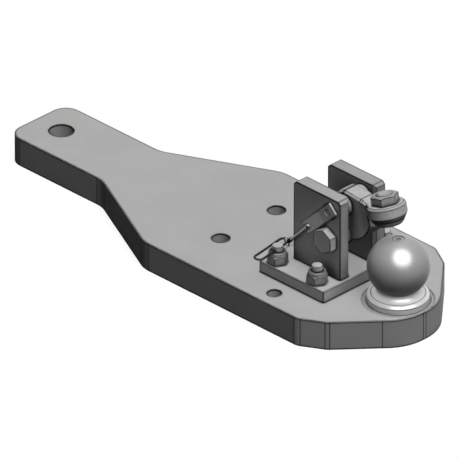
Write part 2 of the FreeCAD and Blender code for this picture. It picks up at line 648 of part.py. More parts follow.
def strap_place():
    """The strap's frame: X along the strap, origin on the pin's axis at the strap's inner face."""
    return FreeCAD.Placement(V(LOCK.x, -CHEEK_OUTER - STRAP_CLEARANCE, LOCK.z),
                             FreeCAD.Rotation(ACROSS, -STRAP_ANGLE))


def strap_lower():
    """Direction of the strap's lower leg in the strap's frame."""
    bend = math.radians(STRAP_BEND_ANGLE)
    return V(-math.cos(bend), -math.sin(bend), 0)


def strap_notch():
    """Centre of the notch at the end of the strap's lower leg, midway through its thickness."""
    leg = strap_lower()
    return (V(-STRAP_BEND_LENGTH, -STRAP_THICKNESS / 2, 0)
            + leg * (STRAP_LOWER_LENGTH - STRAP_NOTCH_INSET))


def grip_strap():
    """The flat strap bent outwards below the pin, with a notch for the tether."""
    half = STRAP_WIDTH / 2
    leg = strap_lower()
    bend = V(-STRAP_BEND_LENGTH, 0, 0)
    out = V(0, -STRAP_THICKNESS, 0)
    shift = STRAP_THICKNESS * math.tan(math.radians(STRAP_BEND_ANGLE) / 2)
    normal = V(leg.y, -leg.x, 0) * -STRAP_THICKNESS
    side = [V(STRAP_UPPER_LENGTH, 0, 0), bend, bend + leg * STRAP_LOWER_LENGTH,
            bend + leg * STRAP_LOWER_LENGTH + normal, bend + out + V(shift, 0, 0),
            V(STRAP_UPPER_LENGTH, 0, 0) + out]
    strap = polygon([p - UP * half for p in side]).extrude(UP * STRAP_WIDTH)
    centre = strap_notch()
    reach = normal.normalize() * STRAP_WIDTH
    notch = rod(STRAP_NOTCH_RADIUS, centre - reach, centre + reach)
    slot = block(V(0, -STRAP_WIDTH, -STRAP_NOTCH_RADIUS), V(STRAP_WIDTH, STRAP_WIDTH, STRAP_NOTCH_RADIUS))
    slot.Placement = FreeCAD.Placement(centre, FreeCAD.Rotation(V(1, 0, 0), leg))
    hole = rod(STRAP_HOLE_RADIUS, V(0, 0, 0), out)
    strap = strap.cut(Part.makeCompound([notch, slot, hole]))
    strap.Placement = strap_place()
    return strap


def loop_frame():
    """Where the loop's wire crosses the near rear stud's axis, and the wire's direction there."""
    centre = STUDS[0] + UP * (STUD_NUT_TOP + LOOP_HOLE_HEIGHT)
    turn = math.radians(LOOP_TURN)
    return centre, V(-math.sin(turn), math.cos(turn), 0)


def loop_ends():
    """Centres of the loop's two end bends, and the step from its middle to the strand in the stud."""
    centre, along = loop_frame()
    bend = LOOP_WIDTH / 2
    side = V(along.y, -along.x, 0) * bend
    middle = centre - side
    return middle + along * (LOOP_REACH_IN - bend), middle - along * (LOOP_REACH_OUT - bend), side


def tether_stud():
    """The near rear stud, cross-drilled in its point for the tether's loop."""
    centre, along = loop_frame()
    reach = along * STUD_RADIUS
    return base_stud(STUDS[0]).cut(rod(LOOP_WIRE_RADIUS + LOOP_CLEARANCE, centre - reach, centre + reach))


def tether_loop():
    """The long wire loop with one strand through the near rear stud and one behind it."""
    along = loop_frame()[1]
    near, far, side = loop_ends()
    pieces = []
    ends = [near, far]
    for sign in (-1, 1):
        pieces.append(rod(LOOP_WIRE_RADIUS, ends[0] + side * sign, ends[1] + side * sign))
    for end, sign in zip(ends, (1, -1)):
        section = Part.Face(Part.Wire(Part.makeCircle(LOOP_WIRE_RADIUS, end + side * sign, along)))
        pieces.append(section.revolve(end, UP, 180.0))
    return pieces[0].multiFuse(pieces[1:]).removeSplitter()


def tether_cable():
    """The short wire from the strap's notch to its ferruled eye on the loop."""
    bend = loop_ends()[0]
    ball = strap_place().multVec(strap_notch())
    level = V(ball.x - bend.x, ball.y - bend.y, 0).normalize()
    hook = bend + level * (LOOP_WIDTH / 2)
    pull = (ball - hook).normalize()
    eye = hook + pull * (CABLE_EYE_RADIUS - CABLE_EYE_WIRE - LOOP_WIRE_RADIUS - CABLE_EYE_CLEARANCE)
    wire = V(-level.y, level.x, 0)
    facing = (wire - pull * wire.dot(pull)).normalize()
    ring = Part.makeTorus(CABLE_EYE_RADIUS, CABLE_EYE_WIRE, eye, facing)
    start = eye + pull * (CABLE_EYE_RADIUS - CABLE_EYE_WIRE / 2)
    ferrule = rod(CABLE_FERRULE_RADIUS, start, start + pull * CABLE_FERRULE_LENGTH)
    cable = rod(CABLE_RADIUS, start + pull * CABLE_FERRULE_LENGTH / 2, ball)
    knob = Part.makeSphere(CABLE_BALL_RADIUS, ball)
    return ring.fuse(ferrule).fuse(cable).fuse(knob).removeSplitter()


def main():
    """Build every piece and write it to its own file."""
    os.makedirs("parts", exist_ok=True)
    save("drawbar_plate", drawbar_plate())
    save("tow_ball", tow_ball())
    save("ball_ring_nut", ball_ring_nut())
    save("bracket_base", bracket_base())
    for name, side in (("near", -1), ("far", 1)):
        save(name + "_cheek", cheek(side))
        save(name + "_pivot_spacer", pivot_spacer(side))
    for number, place in enumerate(STUDS, 1):
        save("base_stud_%d" % number, base_stud(place) if number > 1 else tether_stud())
        save("base_nut_%d" % number, base_nut(place))
    save("pivot_bolt", pivot_bolt())
    save("pivot_nut", pivot_nut())
    save("pivot_bush", pivot_bush())
    save("hold_down_arm", hold_down_arm())
    save("lock_nut", lock_nut())
    save("thrust_screw", thrust_screw())
    save("thrust_pad", thrust_pad())
    save("lock_pin", lock_pin())
    save("grip_strap", grip_strap())
    save("tether_loop", tether_loop())
    save("tether_cable", tether_cable())


main()
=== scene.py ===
"""Dresses the drawbar and tow-ball plate in steel and lights it in a plain studio.

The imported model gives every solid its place. This script gives each of them a
finish, creases the forged arm, and models the stranded wire tether.
"""

import logging
import math
from dataclasses import dataclass, field
from enum import Enum
from typing import Any, Mapping, Sequence, TypeAlias

import bmesh
import bpy
from mathutils import Matrix, Vector

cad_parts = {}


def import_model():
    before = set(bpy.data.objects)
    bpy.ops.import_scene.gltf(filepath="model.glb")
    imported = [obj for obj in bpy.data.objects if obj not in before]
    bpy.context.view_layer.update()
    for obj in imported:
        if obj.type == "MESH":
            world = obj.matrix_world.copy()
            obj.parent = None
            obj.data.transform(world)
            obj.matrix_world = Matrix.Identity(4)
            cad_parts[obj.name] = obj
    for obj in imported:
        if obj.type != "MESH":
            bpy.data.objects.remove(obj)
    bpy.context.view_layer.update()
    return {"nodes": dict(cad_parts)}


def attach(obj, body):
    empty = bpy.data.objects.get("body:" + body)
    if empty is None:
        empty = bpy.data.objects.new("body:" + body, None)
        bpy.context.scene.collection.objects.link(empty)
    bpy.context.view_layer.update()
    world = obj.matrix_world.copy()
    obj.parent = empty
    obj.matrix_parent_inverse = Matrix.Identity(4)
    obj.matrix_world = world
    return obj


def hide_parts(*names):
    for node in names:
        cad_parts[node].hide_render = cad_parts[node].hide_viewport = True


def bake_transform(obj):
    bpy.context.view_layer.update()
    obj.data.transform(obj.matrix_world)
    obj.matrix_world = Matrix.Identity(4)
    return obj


LOG = logging.getLogger("drawbar")
MM = 0.001
WHITE = (1.0, 1.0, 1.0, 1.0)
MASK_SAMPLES = 8
MARK_CORE = 0.4
CLOUD_DETAIL = 4.0
FINE_DETAIL = 3.0
SMOOTH_ANGLE = 35.0
ROUND_SIDES = 28
DIRECT_RAYS = ("Is Camera Ray", "Is Glossy Ray", "Is Transmission Ray")

Operand: TypeAlias = "Signal | float"
Pair: TypeAlias = tuple[float, float]
Triple: TypeAlias = tuple[float, float, float]
Nodes: TypeAlias = Mapping[str, bpy.types.Object]


class Signal:
    """One output socket of a node tree, usable in Python arithmetic."""

    def __init__(self, graph: "Graph", socket: bpy.types.NodeSocket) -> None:
        """Keep the socket and the graph that new nodes go into."""
        self.graph = graph
        self.socket = socket

    def math(self, operation: str, *operands: Operand) -> "Signal":
        """Add one Math node.

        Args:
            operation: The Math node's operation.
            operands: Its inputs in order, numbers or signals.

        Returns:
            The node's result.
        """
        return self.graph.node("ShaderNodeMath", {"operation": operation}, dict(enumerate(operands)))

    def __add__(self, other: Operand) -> "Signal":
        """Sum."""
        return self.math("ADD", self, other)

    def __radd__(self, other: Operand) -> "Signal":
        """Reflected sum."""
        return self.math("ADD", other, self)

    def __sub__(self, other: Operand) -> "Signal":
        """Difference."""
        return self.math("SUBTRACT", self, other)

    def __rsub__(self, other: Operand) -> "Signal":
        """Reflected difference."""
        return self.math("SUBTRACT", other, self)

    def __mul__(self, other: Operand) -> "Signal":
        """Product."""
        return self.math("MULTIPLY", self, other)

    def __rmul__(self, other: Operand) -> "Signal":
        """Reflected product."""
        return self.math("MULTIPLY", other, self)

    def __truediv__(self, other: Operand) -> "Signal":
        """Quotient."""
        return self.math("DIVIDE", self, other)

    def __pow__(self, other: Operand) -> "Signal":
        """Power."""
        return self.math("POWER", self, other)

    def least(self, other: Operand) -> "Signal":
        """The smaller of two values."""
        return self.math("MINIMUM", self, other)

    def most(self, other: Operand) -> "Signal":
        """The larger of two values."""
        return self.math("MAXIMUM", self, other)

    def clamped(self) -> "Signal":
        """The value held between 0 and 1."""
        return self.least(1.0).most(0.0)

    def absolute(self) -> "Signal":
        """The value without its sign."""
        return self.math("ABSOLUTE", self)

    def band(self, low: float, high: float) -> "Signal":
        """A smooth rise from 0 at low to 1 at high.

        Args:
            low: Where the rise starts.
            high: Where it ends.

        Returns:
            The eased value.
        """
        settings = {"interpolation_type": "SMOOTHSTEP"}
        inputs = {"Value": self, "From Min": low, "From Max": high}
        return self.graph.node("ShaderNodeMapRange", settings, inputs)


class Graph:
    """The node tree of one material, or of the world."""

    def __init__(self, owner: bpy.types.ID) -> None:
        """Give a material or the world an empty tree.

        Args:
            owner: The material or the world.
        """
        self.owner = owner
        owner.use_nodes = True
        self.tree = owner.node_tree
        self.tree.nodes.clear()

    def node(self, kind: str, settings: Mapping[str, Any] | None = None,
             inputs: Mapping[Any, Any] | None = None, output: Any = 0) -> Signal:
        """Add one node of any type.

        Args:
            kind: The node's type.
            settings: Its properties, set before its sockets.
            inputs: Values or signals for its sockets, by name or number.
            output: The output wanted, by name or number.

        Returns:
            That output.
        """
        node = self.tree.nodes.new(kind)
        for key, value in (settings or {}).items():
            setattr(node, key, value)
        for key, value in (inputs or {}).items():
            if isinstance(value, Signal):
                self.tree.links.new(value.socket, node.inputs[key])
            else:
                node.inputs[key].default_value = value
        return Signal(self, node.outputs[output])

    def place(self) -> Signal:
        """Object coordinates, in metres."""
        return self.node("ShaderNodeTexCoord", output="Object")

    def normal(self) -> Signal:
        """The surface's own normal."""
        return self.node("ShaderNodeNewGeometry", output="Normal")

    def axis(self, vector: Signal, name: str) -> Signal:
        """One component, X, Y or Z, of a vector."""
        return self.node("ShaderNodeSeparateXYZ", None, {0: vector}, name)

    def vector(self, operation: str, *operands: Signal | Sequence[float], output: str = "Vector") -> Signal:
        """Add one Vector Math node.

        Args:
            operation: The node's operation.
            operands: Its inputs in order.
            output: The output wanted.

        Returns:
            The node's result.
        """
        settings = {"operation": operation}
        return self.node("ShaderNodeVectorMath", settings, dict(enumerate(operands)), output)

    def noise(self, size: float, detail: float = 2.0, stretch: Triple = (1.0, 1.0, 1.0)) -> Signal:
        """Noise whose lumps have a real size.

        Args:
            size: Width of a lump in metres.
            detail: Octaves of finer noise.
            stretch: How often the pattern repeats along X, Y and Z against the rest.

        Returns:
            A value about 0.5.
        """
        spot = self.vector("MULTIPLY", self.place(), stretch)
        inputs = {"Vector": spot, "Scale": 1.0 / size, "Detail": detail}
        return self.node("ShaderNodeTexNoise", None, inputs)

    def mix(self, share: Signal, first: Any, second: Any) -> Signal:
        """Blend two colours.

        Args:
            share: Amount of the second colour.
            first: The first colour.
            second: The second colour.

        Returns:
            The blended colour.
        """
        return self.node("ShaderNodeMix", {"data_type": "RGBA"}, {0: share, 6: first, 7: second}, 2)

    def edge(self, width: float) -> Signal:
        """How near a point is to a sharp edge.

        Args:
            width: Reach from the edge in metres.

        Returns:
            0 on open faces, rising towards 1 at an edge.
        """
        rounded = self.node("ShaderNodeBevel", {"samples": MASK_SAMPLES}, {"Radius": width})
        return 1.0 - self.vector("DOT_PRODUCT", rounded, self.normal(), output="Value")

    def hidden(self, reach: float, low: float, high: float) -> Signal:
        """How deep a point lies in a corner or between other faces.

        Args:
            reach: How far away the other faces still count, in metres.
            low: The covered share of the view that still counts as open.
            high: The covered share that counts as fully hidden.

        Returns:
            0 on open faces, 1 where hidden.
        """
        settings = {"samples": MASK_SAMPLES}
        open_share = self.node("ShaderNodeAmbientOcclusion", settings, {"Distance": reach}, "AO")
        return (1.0 - open_share).band(low, high)

    def marks(self, spot: Signal, places: Sequence[Pair], width: float) -> Signal:
        """Soft-edged marks at places in a plane.

        Args:
            spot: The shaded point, with the plane in X and Y.
            places: The middles of the marks, one or more, in millimetres.
            width: How far a mark reaches, in metres.

        Returns:
            1 in a mark's core, 0 outside it.
        """
        gaps = [self.vector("DISTANCE", spot, (first * MM, second * MM, 0.0), output="Value")
                for first, second in places]
        nearest = gaps[0]
        for gap in gaps[1:]:
            nearest = nearest.least(gap)
        return 1.0 - nearest.band(width * MARK_CORE, width)

    def bump(self, height: Signal, depth: float, under: Signal | None = None) -> Signal:
        """Turn a height into a normal.

        Args:
            height: Height from 0 to 1.
            depth: The real height in metres of a step from 0 to 1.
            under: A normal that this one adds to.

        Returns:
            The bent normal.
        """
        inputs = {"Strength": 1.0, "Distance": depth, "Height": height}
        if under is not None:
            inputs["Normal"] = under
        return self.node("ShaderNodeBump", None, inputs)

    def close(self, shader: Signal) -> None:
        """Wire the last shader to the tree's output.

        Args:
            shader: The shader.
        """
        kind = "World" if isinstance(self.owner, bpy.types.World) else "Material"
        target = self.tree.nodes.new(f"ShaderNodeOutput{kind}")
        self.tree.links.new(shader.socket, target.inputs["Surface"])


def grey(level: float) -> tuple[float, float, float, float]:
    """A nearly neutral, slightly warm colour.

    Args:
        level: Its level on a screen, 0 to 255.

    Returns:
        The colour, linear, with full alpha.
    """
    value = level / 255.0
    linear = value / 12.92 if value <= 0.04045 else ((value + 0.055) / 1.055) ** 2.4
    return (linear, linear * 0.985, linear * 0.98, 1.0)


@dataclass(frozen=True)
class Steel:
    """A plain steel surface: tone, cloudy patches, fine grain, dark lines painted along edges and painted
    shade in corners.

    Lengths are in metres and tones are levels on a screen, 0 to 255. A band says
    where a mask starts and where it is full, and three amounts give the most
    painted shade laid in corners, in recesses on the sides, and on undersides.
    """

    name: str
    tone: float = 170.0
    dark: float = 150.0
    patch: float = 60 * MM
    cloud_band: Pair = (0.3, 0.7)
    cloud_share: float = 0.6
    grain: float = 0.7 * MM
    grain_depth: float = 0.03 * MM
    speckle_grains: float = 3.0
    speckle_band: Pair = (0.35, 0.75)
    roughness: float = 0.45
    roughness_spread: float = 0.12
    metallic: float = 0.0
    specular: float = 0.004
    edge_width: float = 4.0 * MM
    edge_tone: float = 26.0
    edge_gain: float = 14.0
    corner_shade_reach: float = 5.0 * MM
    corner_shade_band: Pair = (0.08, 0.42)
    painted_shade_tone: float = 20.0
    corner_shade: float = 0.85
    recess_shade_reach: float = 55 * MM
    recess_shade_band: Pair = (0.2, 0.75)
    recess_shade: float = 0.75
    upward_band: Pair = (0.3, 0.9)
    under: float = 0.0
    under_band: Pair = (-0.45, -0.05)

    def tint(self, graph: Graph) -> Signal:
        """The clean colour, with painted dark edge lines and painted shade in corners.

        Args:
            graph: The tree to build in.

        Returns:
            The base colour.
        """
        # Dark lines painted along every sharp edge: painted shade at inner corners, painted outlines
        # elsewhere.
        edge_lined = graph.mix(self.edges(graph), self.bare(graph), grey(self.edge_tone))
        # Painted shade where other faces crowd in: corners, contacts and gaps between parts.
        corner_shade = graph.hidden(self.corner_shade_reach, *self.corner_shade_band) * self.corner_shade
        return graph.mix(corner_shade.most(self.painted_shade(graph)), edge_lined, grey(self.painted_shade_tone))

    def painted_shade(self, graph: Graph) -> Signal:
        """Painted shade on sides that other pieces hide, and on undersides.

        Args:
            graph: The tree to build in.

        Returns:
            The share of grime.
        """
        rise = graph.axis(graph.normal(), "Z")
        # Painted shade from ambient occlusion over a long reach, kept off the faces that look up.
        deep = graph.hidden(self.recess_shade_reach, *self.recess_shade_band)
        covered = deep * (1.0 - rise.band(*self.upward_band)) * self.recess_shade
        if not self.under:
            return covered
        # Painted shade on faces that look down.
        return covered.most((1.0 - rise.band(*self.under_band)) * self.under)

    def bare(self, graph: Graph) -> Signal:
        """Cloudy steel between the two tones, with a fine speckle.

        Args:
            graph: The tree to build in.

        Returns:
            The colour of the clean surface.
        """
        clouds = graph.noise(self.patch, CLOUD_DETAIL).band(*self.cloud_band)
        speckle = graph.noise(self.grain * self.speckle_grains, FINE_DETAIL).band(*self.speckle_band)
        share = clouds * self.cloud_share + speckle * (1.0 - self.cloud_share)
        return graph.mix(share, grey(self.dark), grey(self.tone))

    def edges(self, graph: Graph) -> Signal:
        """Share of dark lines painted along the edges, which are painted shade at inner corners."""
        return (graph.edge(self.edge_width) * self.edge_gain).clamped()

    def relief(self, graph: Graph) -> Signal:
        """Fine grain as a bent normal."""
        return graph.bump(graph.noise(self.grain, FINE_DETAIL), self.grain_depth)

    def gloss(self, graph: Graph) -> Signal:
        """Roughness that drifts over the surface."""
        drift = graph.noise(self.patch / 2, FINE_DETAIL) * self.roughness_spread
        return drift + (self.roughness - self.roughness_spread / 2)

    def material(self) -> bpy.types.Material:
        """Build the material.

        Returns:
            The finished material.
        """
        graph = Graph(bpy.data.materials.new(self.name))
        graph.close(graph.node("ShaderNodeBsdfPrincipled", None, {
            "Base Color": self.tint(graph),
            "Roughness": self.gloss(graph),
            "Metallic": self.metallic,
            "Specular IOR Level": self.specular,
            "Normal": self.relief(graph),
        }))
        return graph.owner


@dataclass(frozen=True)
class PlatedSteel(Steel):
    """Plated steel of bolts, studs and nuts: small patches, a little gloss, narrow painted dark edge lines.
    """

    patch: float = 8 * MM
    edge_width: float = 2.8 * MM
    roughness: float = 0.4
    specular: float = 0.04


@dataclass(frozen=True)
class FlameCutPlate(Steel):
    """Rolled plate whose upright sides carry the torch's marks."""

    drag_pitch: float = 1.6 * MM
    drag_depth: float = 0.12 * MM
    drag_stretch: Triple = (1.0, 1.0, 0.04)
    upright_band: Pair = (0.2, 0.6)
    turns: tuple[Pair, ...] = ()
    turn_width: float = 1.0 * MM
    turn_share: float = 0.8

    def upright(self, graph: Graph) -> Signal:
        """1 on the plate's sides, 0 on its faces."""
        return 1.0 - graph.axis(graph.normal(), "Z").absolute().band(*self.upright_band)

    def edges(self, graph: Graph) -> Signal:
        """Painted dark lines along the edges, and an upright line wherever the torch changed its course.

        Args:
            graph: The tree to build in.

        Returns:
            The share of dark colour: painted edge lines and torch marks.
        """
        place = graph.place()
        one_side = {0: graph.axis(place, "X"), 1: graph.axis(place, "Y").absolute()}
        plan = graph.node("ShaderNodeCombineXYZ", None, one_side)
        lines = graph.marks(plan, self.turns, self.turn_width)
        return (super().edges(graph) + lines * self.upright(graph) * self.turn_share).clamped()

    def relief(self, graph: Graph) -> Signal:
        """Grain everywhere, and drag lines on the upright sides.

        Args:
            graph: The tree to build in.

        Returns:
            The bent normal.
        """
        lines = graph.noise(self.drag_pitch, stretch=self.drag_stretch)
        return graph.bump(lines * self.upright(graph), self.drag_depth, super().relief(graph))


@dataclass(frozen=True)
class ForgedSteel(Steel):
    """Forged steel, with painted shade in the creases across its top.

    A crease is given by its middle along X and its width, both in millimetres.
    """

    creases: tuple[Pair, ...] = ()
    crease_reach: float = 14 * MM
    crease_fade: float = 1 * MM
    crease_core: float = 0.3
    crease_rim: float = 0.6
    crease_shade: float = 0.85
    top_band: Pair = (0.2, 0.5)

    def painted_shade(self, graph: Graph) -> Signal:
        """The plain painted shade, with more painted shade in the creases.

        Args:
            graph: The tree to build in.

        Returns:
            The share of painted shade.
        """
        painted_shade = super().painted_shade(graph)
        place = graph.place()
        across = graph.axis(place, "Y").absolute()
        inside = 1.0 - across.band(self.crease_reach, self.crease_reach + self.crease_fade)
        on_top = graph.axis(graph.normal(), "Z").band(*self.top_band) * inside
        for middle, width in self.creases:
            away = (graph.axis(place, "X") - middle * MM).absolute()
            crease = 1.0 - away.band(width * self.crease_core * MM, width * self.crease_rim * MM)
            painted_shade = painted_shade.most(crease * on_top * self.crease_shade)
        return painted_shade


@dataclass(frozen=True)
class TurnedSteel(Steel):
    """Steel with the fine circular marks of a lathe, thin painted dark rings on its profile and a painted
    highlight on the flange.

    A painted dark ring is given by its radius and its height above the centre, both in
    millimetres.
    """

    axis: Triple = (0.0, 0.0, 1.0)
    centre: Triple = (0.0, 0.0, 0.0)
    feed: float = 0.35 * MM
    mark_depth: float = 0.01 * MM
    lines: tuple[Pair, ...] = ()
    line_width: float = 0.9 * MM
    line_share: float = 0.75
    flange_highlight_tone: float = 215.0
    flange_top: float = 12 * MM
    flange_fade: float = 1.6

    def offset(self, graph: Graph) -> Signal:
        """The way from the centre to the shaded point."""
        return graph.vector("SUBTRACT", graph.place(), self.centre)

    def height(self, graph: Graph) -> Signal:
        """Height above the centre, along the axis."""
        return graph.vector("DOT_PRODUCT", self.offset(graph), self.axis, output="Value")

    def bare(self, graph: Graph) -> Signal:
        """The plain colour, painted brighter on the flange as a painted highlight.

        Args:
            graph: The tree to build in.

        Returns:
            The colour of the clean surface.
        """
        low = 1.0 - self.height(graph).band(self.flange_top, self.flange_top * self.flange_fade)
        return graph.mix(low, super().bare(graph), grey(self.flange_highlight_tone))

    def edges(self, graph: Graph) -> Signal:
        """Dark lines painted along edges, and a thin painted dark ring at each given radius and height.

        Args:
            graph: The tree to build in.

        Returns:
            The share of painted dark lines.
        """
        height = self.height(graph)
        distance = graph.vector("LENGTH", self.offset(graph), output="Value")
        radius = (distance ** 2.0 - height ** 2.0) ** 0.5
        profile = graph.node("ShaderNodeCombineXYZ", None, {0: radius, 1: height})
        rings = graph.marks(profile, self.lines, self.line_width)
        return (super().edges(graph) + rings * self.line_share).clamped()

    def relief(self, graph: Graph) -> Signal:
        """Rings at the tool's feed, seen as a bent normal.

        Args:
            graph: The tree to build in.

        Returns:
            The bent normal.
        """
        inputs = {"W": self.height(graph) / self.feed, "Scale": 1.0, "Detail": FINE_DETAIL}
        rings = graph.node("ShaderNodeTexNoise", {"noise_dimensions": "1D"}, inputs)
        return graph.bump(rings, self.mark_depth)


class Reach(Enum):
    """Which rays a lamp shows itself to."""

    MATT = "matt"
    GLOSS = "gloss"


@dataclass(frozen=True)
class Lamp:
    """One soft lamp far away, in the direction towards, with its spread in degrees."""

    name: str
    towards: Triple
    strength: float
    spread: float
    reach: Reach = Reach.MATT
    shadow: bool = True

    def build(self) -> None:
        """Add the lamp, which shines from its direction towards the object."""
        data = bpy.data.lights.new(self.name, "SUN")
        data.energy = self.strength
        data.angle = math.radians(self.spread)
        data.use_shadow = self.shadow
        lamp = bpy.data.objects.new(self.name, data)
        lamp.rotation_euler = Vector(self.towards).to_track_quat("Z", "Y").to_euler()
        lamp.visible_diffuse = self.reach is Reach.MATT
        lamp.visible_glossy = self.reach is Reach.GLOSS
        bpy.context.scene.collection.objects.link(lamp)
        LOG.info("%s lit", self.name)


@dataclass
class Studio:
    """Floor, lamps, background and camera at the photograph's angle.

    The camera stands so far off that its view is all but parallel. The middle of the
    tail bore's top, at origin_height, falls on origin_pixel, and pixels_per_mm holds
    at depth in front of it.
    """

    azimuth: float = 45.0
    elevation: float = 30.0
    pixels_per_mm: float = 0.79
    image_size: float = 458.0
    origin_pixel: Pair = (59.33, 129.23)
    origin_height: float = 40 * MM
    depth: float = 210.6 * MM
    lens: float = 1400.0
    sensor: float = 36.0
    floor_size: float = 6.0
    floor_middle: float = 0.3
    floor_drop: float = 0.3 * MM
    floor_tone: float = 0.3
    floor_glow: float = 0.72
    bounce_tone: float = 0.01
    ambient: float = 0.012
    lamps: tuple[Lamp, ...] = (
        Lamp("key_lamp", (0.54, -0.165, 0.825), 1.65, 16.0, shadow=False),
        Lamp("top_lamp", (0.15, 0.1, 0.98), 1.5, 20.0, shadow=False),
        Lamp("floor_lamp", (0.15, 0.1, 0.98), 0.25, 40.0),
        Lamp("rear_lamp", (-0.65, 0.76, 0.0), 0.6, 20.0, shadow=False),
        Lamp("gloss_lamp", (0.504, -0.194, 0.84), 85.0, 62.0, Reach.GLOSS),
    )

    def camera(self) -> None:
        """Place the camera so that the picture matches the photograph's frame."""
        heading, rise = math.radians(self.azimuth), math.radians(self.elevation)
        back = Vector((math.sin(heading) * math.cos(rise), -math.cos(heading) * math.cos(rise),
                       math.sin(rise)))
        right = Vector((math.cos(heading), math.sin(heading), 0.0))
        up = back.cross(right)
        middle = (self.image_size - 1) / 2
        shift = (middle - self.origin_pixel[0], self.origin_pixel[1] - middle)
        scale = MM / self.pixels_per_mm
        aim = Vector((0, 0, self.origin_height)) + right * shift[0] * scale + up * shift[1] * scale
        frame_width = self.image_size * scale
        distance = self.depth + frame_width / 2 * self.lens / (self.sensor / 2)
        data = bpy.data.cameras.new("studio_camera")
        data.lens = self.lens
        data.sensor_width = self.sensor
        data.clip_end = 2 * distance
        camera = bpy.data.objects.new("studio_camera", data)
        bpy.context.scene.collection.objects.link(camera)
        turned = Matrix((right, up, back)).transposed().to_4x4()
        camera.matrix_world = Matrix.Translation(aim + back * distance) @ turned
        bpy.context.scene.camera = camera
        LOG.info("camera %.2f m away", distance)

    def seen(self, graph: Graph) -> Signal:
        """Tell rays that look at a surface from rays that only carry its light.

        Args:
            graph: The tree to build in.

        Returns:
            1 for camera, gloss and glass, 0 for the rest.
        """
        camera, gloss, glass = (graph.node("ShaderNodeLightPath", output=ray) for ray in DIRECT_RAYS)
        return (camera + gloss + glass).clamped()

    def floor(self) -> None:
        """Lay the pale floor, which is white to the camera but keeps the shadow."""
        select_nothing()
        place = (self.floor_middle, 0, -self.floor_drop)
        bpy.ops.mesh.primitive_plane_add(size=self.floor_size, location=place)
        floor = bpy.context.object
        floor.name = "studio_floor"
        graph = Graph(bpy.data.materials.new("pale_floor"))
        glow = graph.node("ShaderNodeEmission", None, {"Strength": self.floor_glow})
        lit = graph.node("ShaderNodeBsdfDiffuse", None, {"Color": (self.floor_tone,) * 3 + (1.0,)})
        dull = graph.node("ShaderNodeBsdfDiffuse", None, {"Color": (self.bounce_tone,) * 3 + (1.0,)})
        bright = graph.node("ShaderNodeAddShader", None, {0: glow, 1: lit})
        graph.close(graph.node("ShaderNodeMixShader", None, {0: self.seen(graph), 1: dull, 2: bright}))
        floor.data.materials.append(graph.owner)

    def world(self) -> None:
        """White behind the object, with a low plain light from all round."""
        world = bpy.data.worlds.new("studio_world")
        bpy.context.scene.world = world
        graph = Graph(world)
        strength = self.seen(graph) * (1.0 - self.ambient) + self.ambient
        graph.close(graph.node("ShaderNodeBackground", None, {"Color": WHITE, "Strength": strength}))

    def build(self) -> None:
        """Set up the whole studio."""
        bpy.context.scene.view_settings.view_transform = "Standard"
        self.camera()
        self.world()
        self.floor()
        for lamp in self.lamps:
            lamp.build()


def select_nothing() -> None:
    """Leave edit mode and deselect everything."""
    if bpy.context.object and bpy.context.object.mode != "OBJECT":
        bpy.ops.object.mode_set(mode="OBJECT")
    bpy.ops.object.select_all(action="DESELECT")


def only(piece: bpy.types.Object) -> None:
    """Make one object the only selected and the active one.

    Args:
        piece: The object.
    """
    select_nothing()
    piece.select_set(True)
    bpy.context.view_layer.objects.active = piece


def dress(nodes: Nodes, names: Sequence[str], finish: Steel) -> None:
    """Give CAD nodes one finish.

    Args:
        nodes: All CAD nodes by name.
        names: Those to dress.
        finish: Their finish.
    """
    material = finish.material()
    for name in names:
        for slot in nodes[name].material_slots:
            slot.material = material
        LOG.info("%s dressed in %s", name, finish.name)


def in_edit(piece: bpy.types.Object) -> bmesh.types.BMesh:
    """Open one object in edit mode with nothing selected.

    Args:
        piece: The object.

    Returns:
        Its mesh, open for edits.
    """
    only(piece)
    bpy.ops.object.mode_set(mode="EDIT")
    bpy.ops.mesh.select_all(action="DESELECT")
    return bmesh.from_edit_mesh(piece.data)


def turn(name: str, rings: Sequence[Pair], sides: int) -> bpy.types.Object:
    """Turn a closed round piece about Z, as on a lathe.

    Args:
        name: The piece's name.
        rings: Its rings from end to end, each a height and a radius.
        sides: How many sides stand for the round.

    Returns:
        The piece.
    """
    select_nothing()
    height, radius = rings[0]
    bpy.ops.mesh.primitive_circle_add(
        vertices=sides, radius=radius, fill_type="NGON", location=(0, 0, height))
    piece = bpy.context.object
    piece.name = name
    bpy.ops.object.transform_apply()
    bpy.ops.object.mode_set(mode="EDIT")
    bpy.ops.mesh.select_all(action="SELECT")
    for upper, wider in rings[1:]:
        bpy.ops.mesh.extrude_region_move(TRANSFORM_OT_translate={"value": (0, 0, upper - height)})
        ratio = wider / radius
        bpy.ops.transform.resize(value=(ratio, ratio, 1), center_override=(0, 0, upper))
        height, radius = upper, wider
    bpy.ops.mesh.select_all(action="SELECT")
    bpy.ops.mesh.normals_make_consistent(inside=False)
    bpy.ops.object.mode_set(mode="OBJECT")
    bpy.ops.object.shade_smooth_by_angle(angle=math.radians(SMOOTH_ANGLE))
    return piece


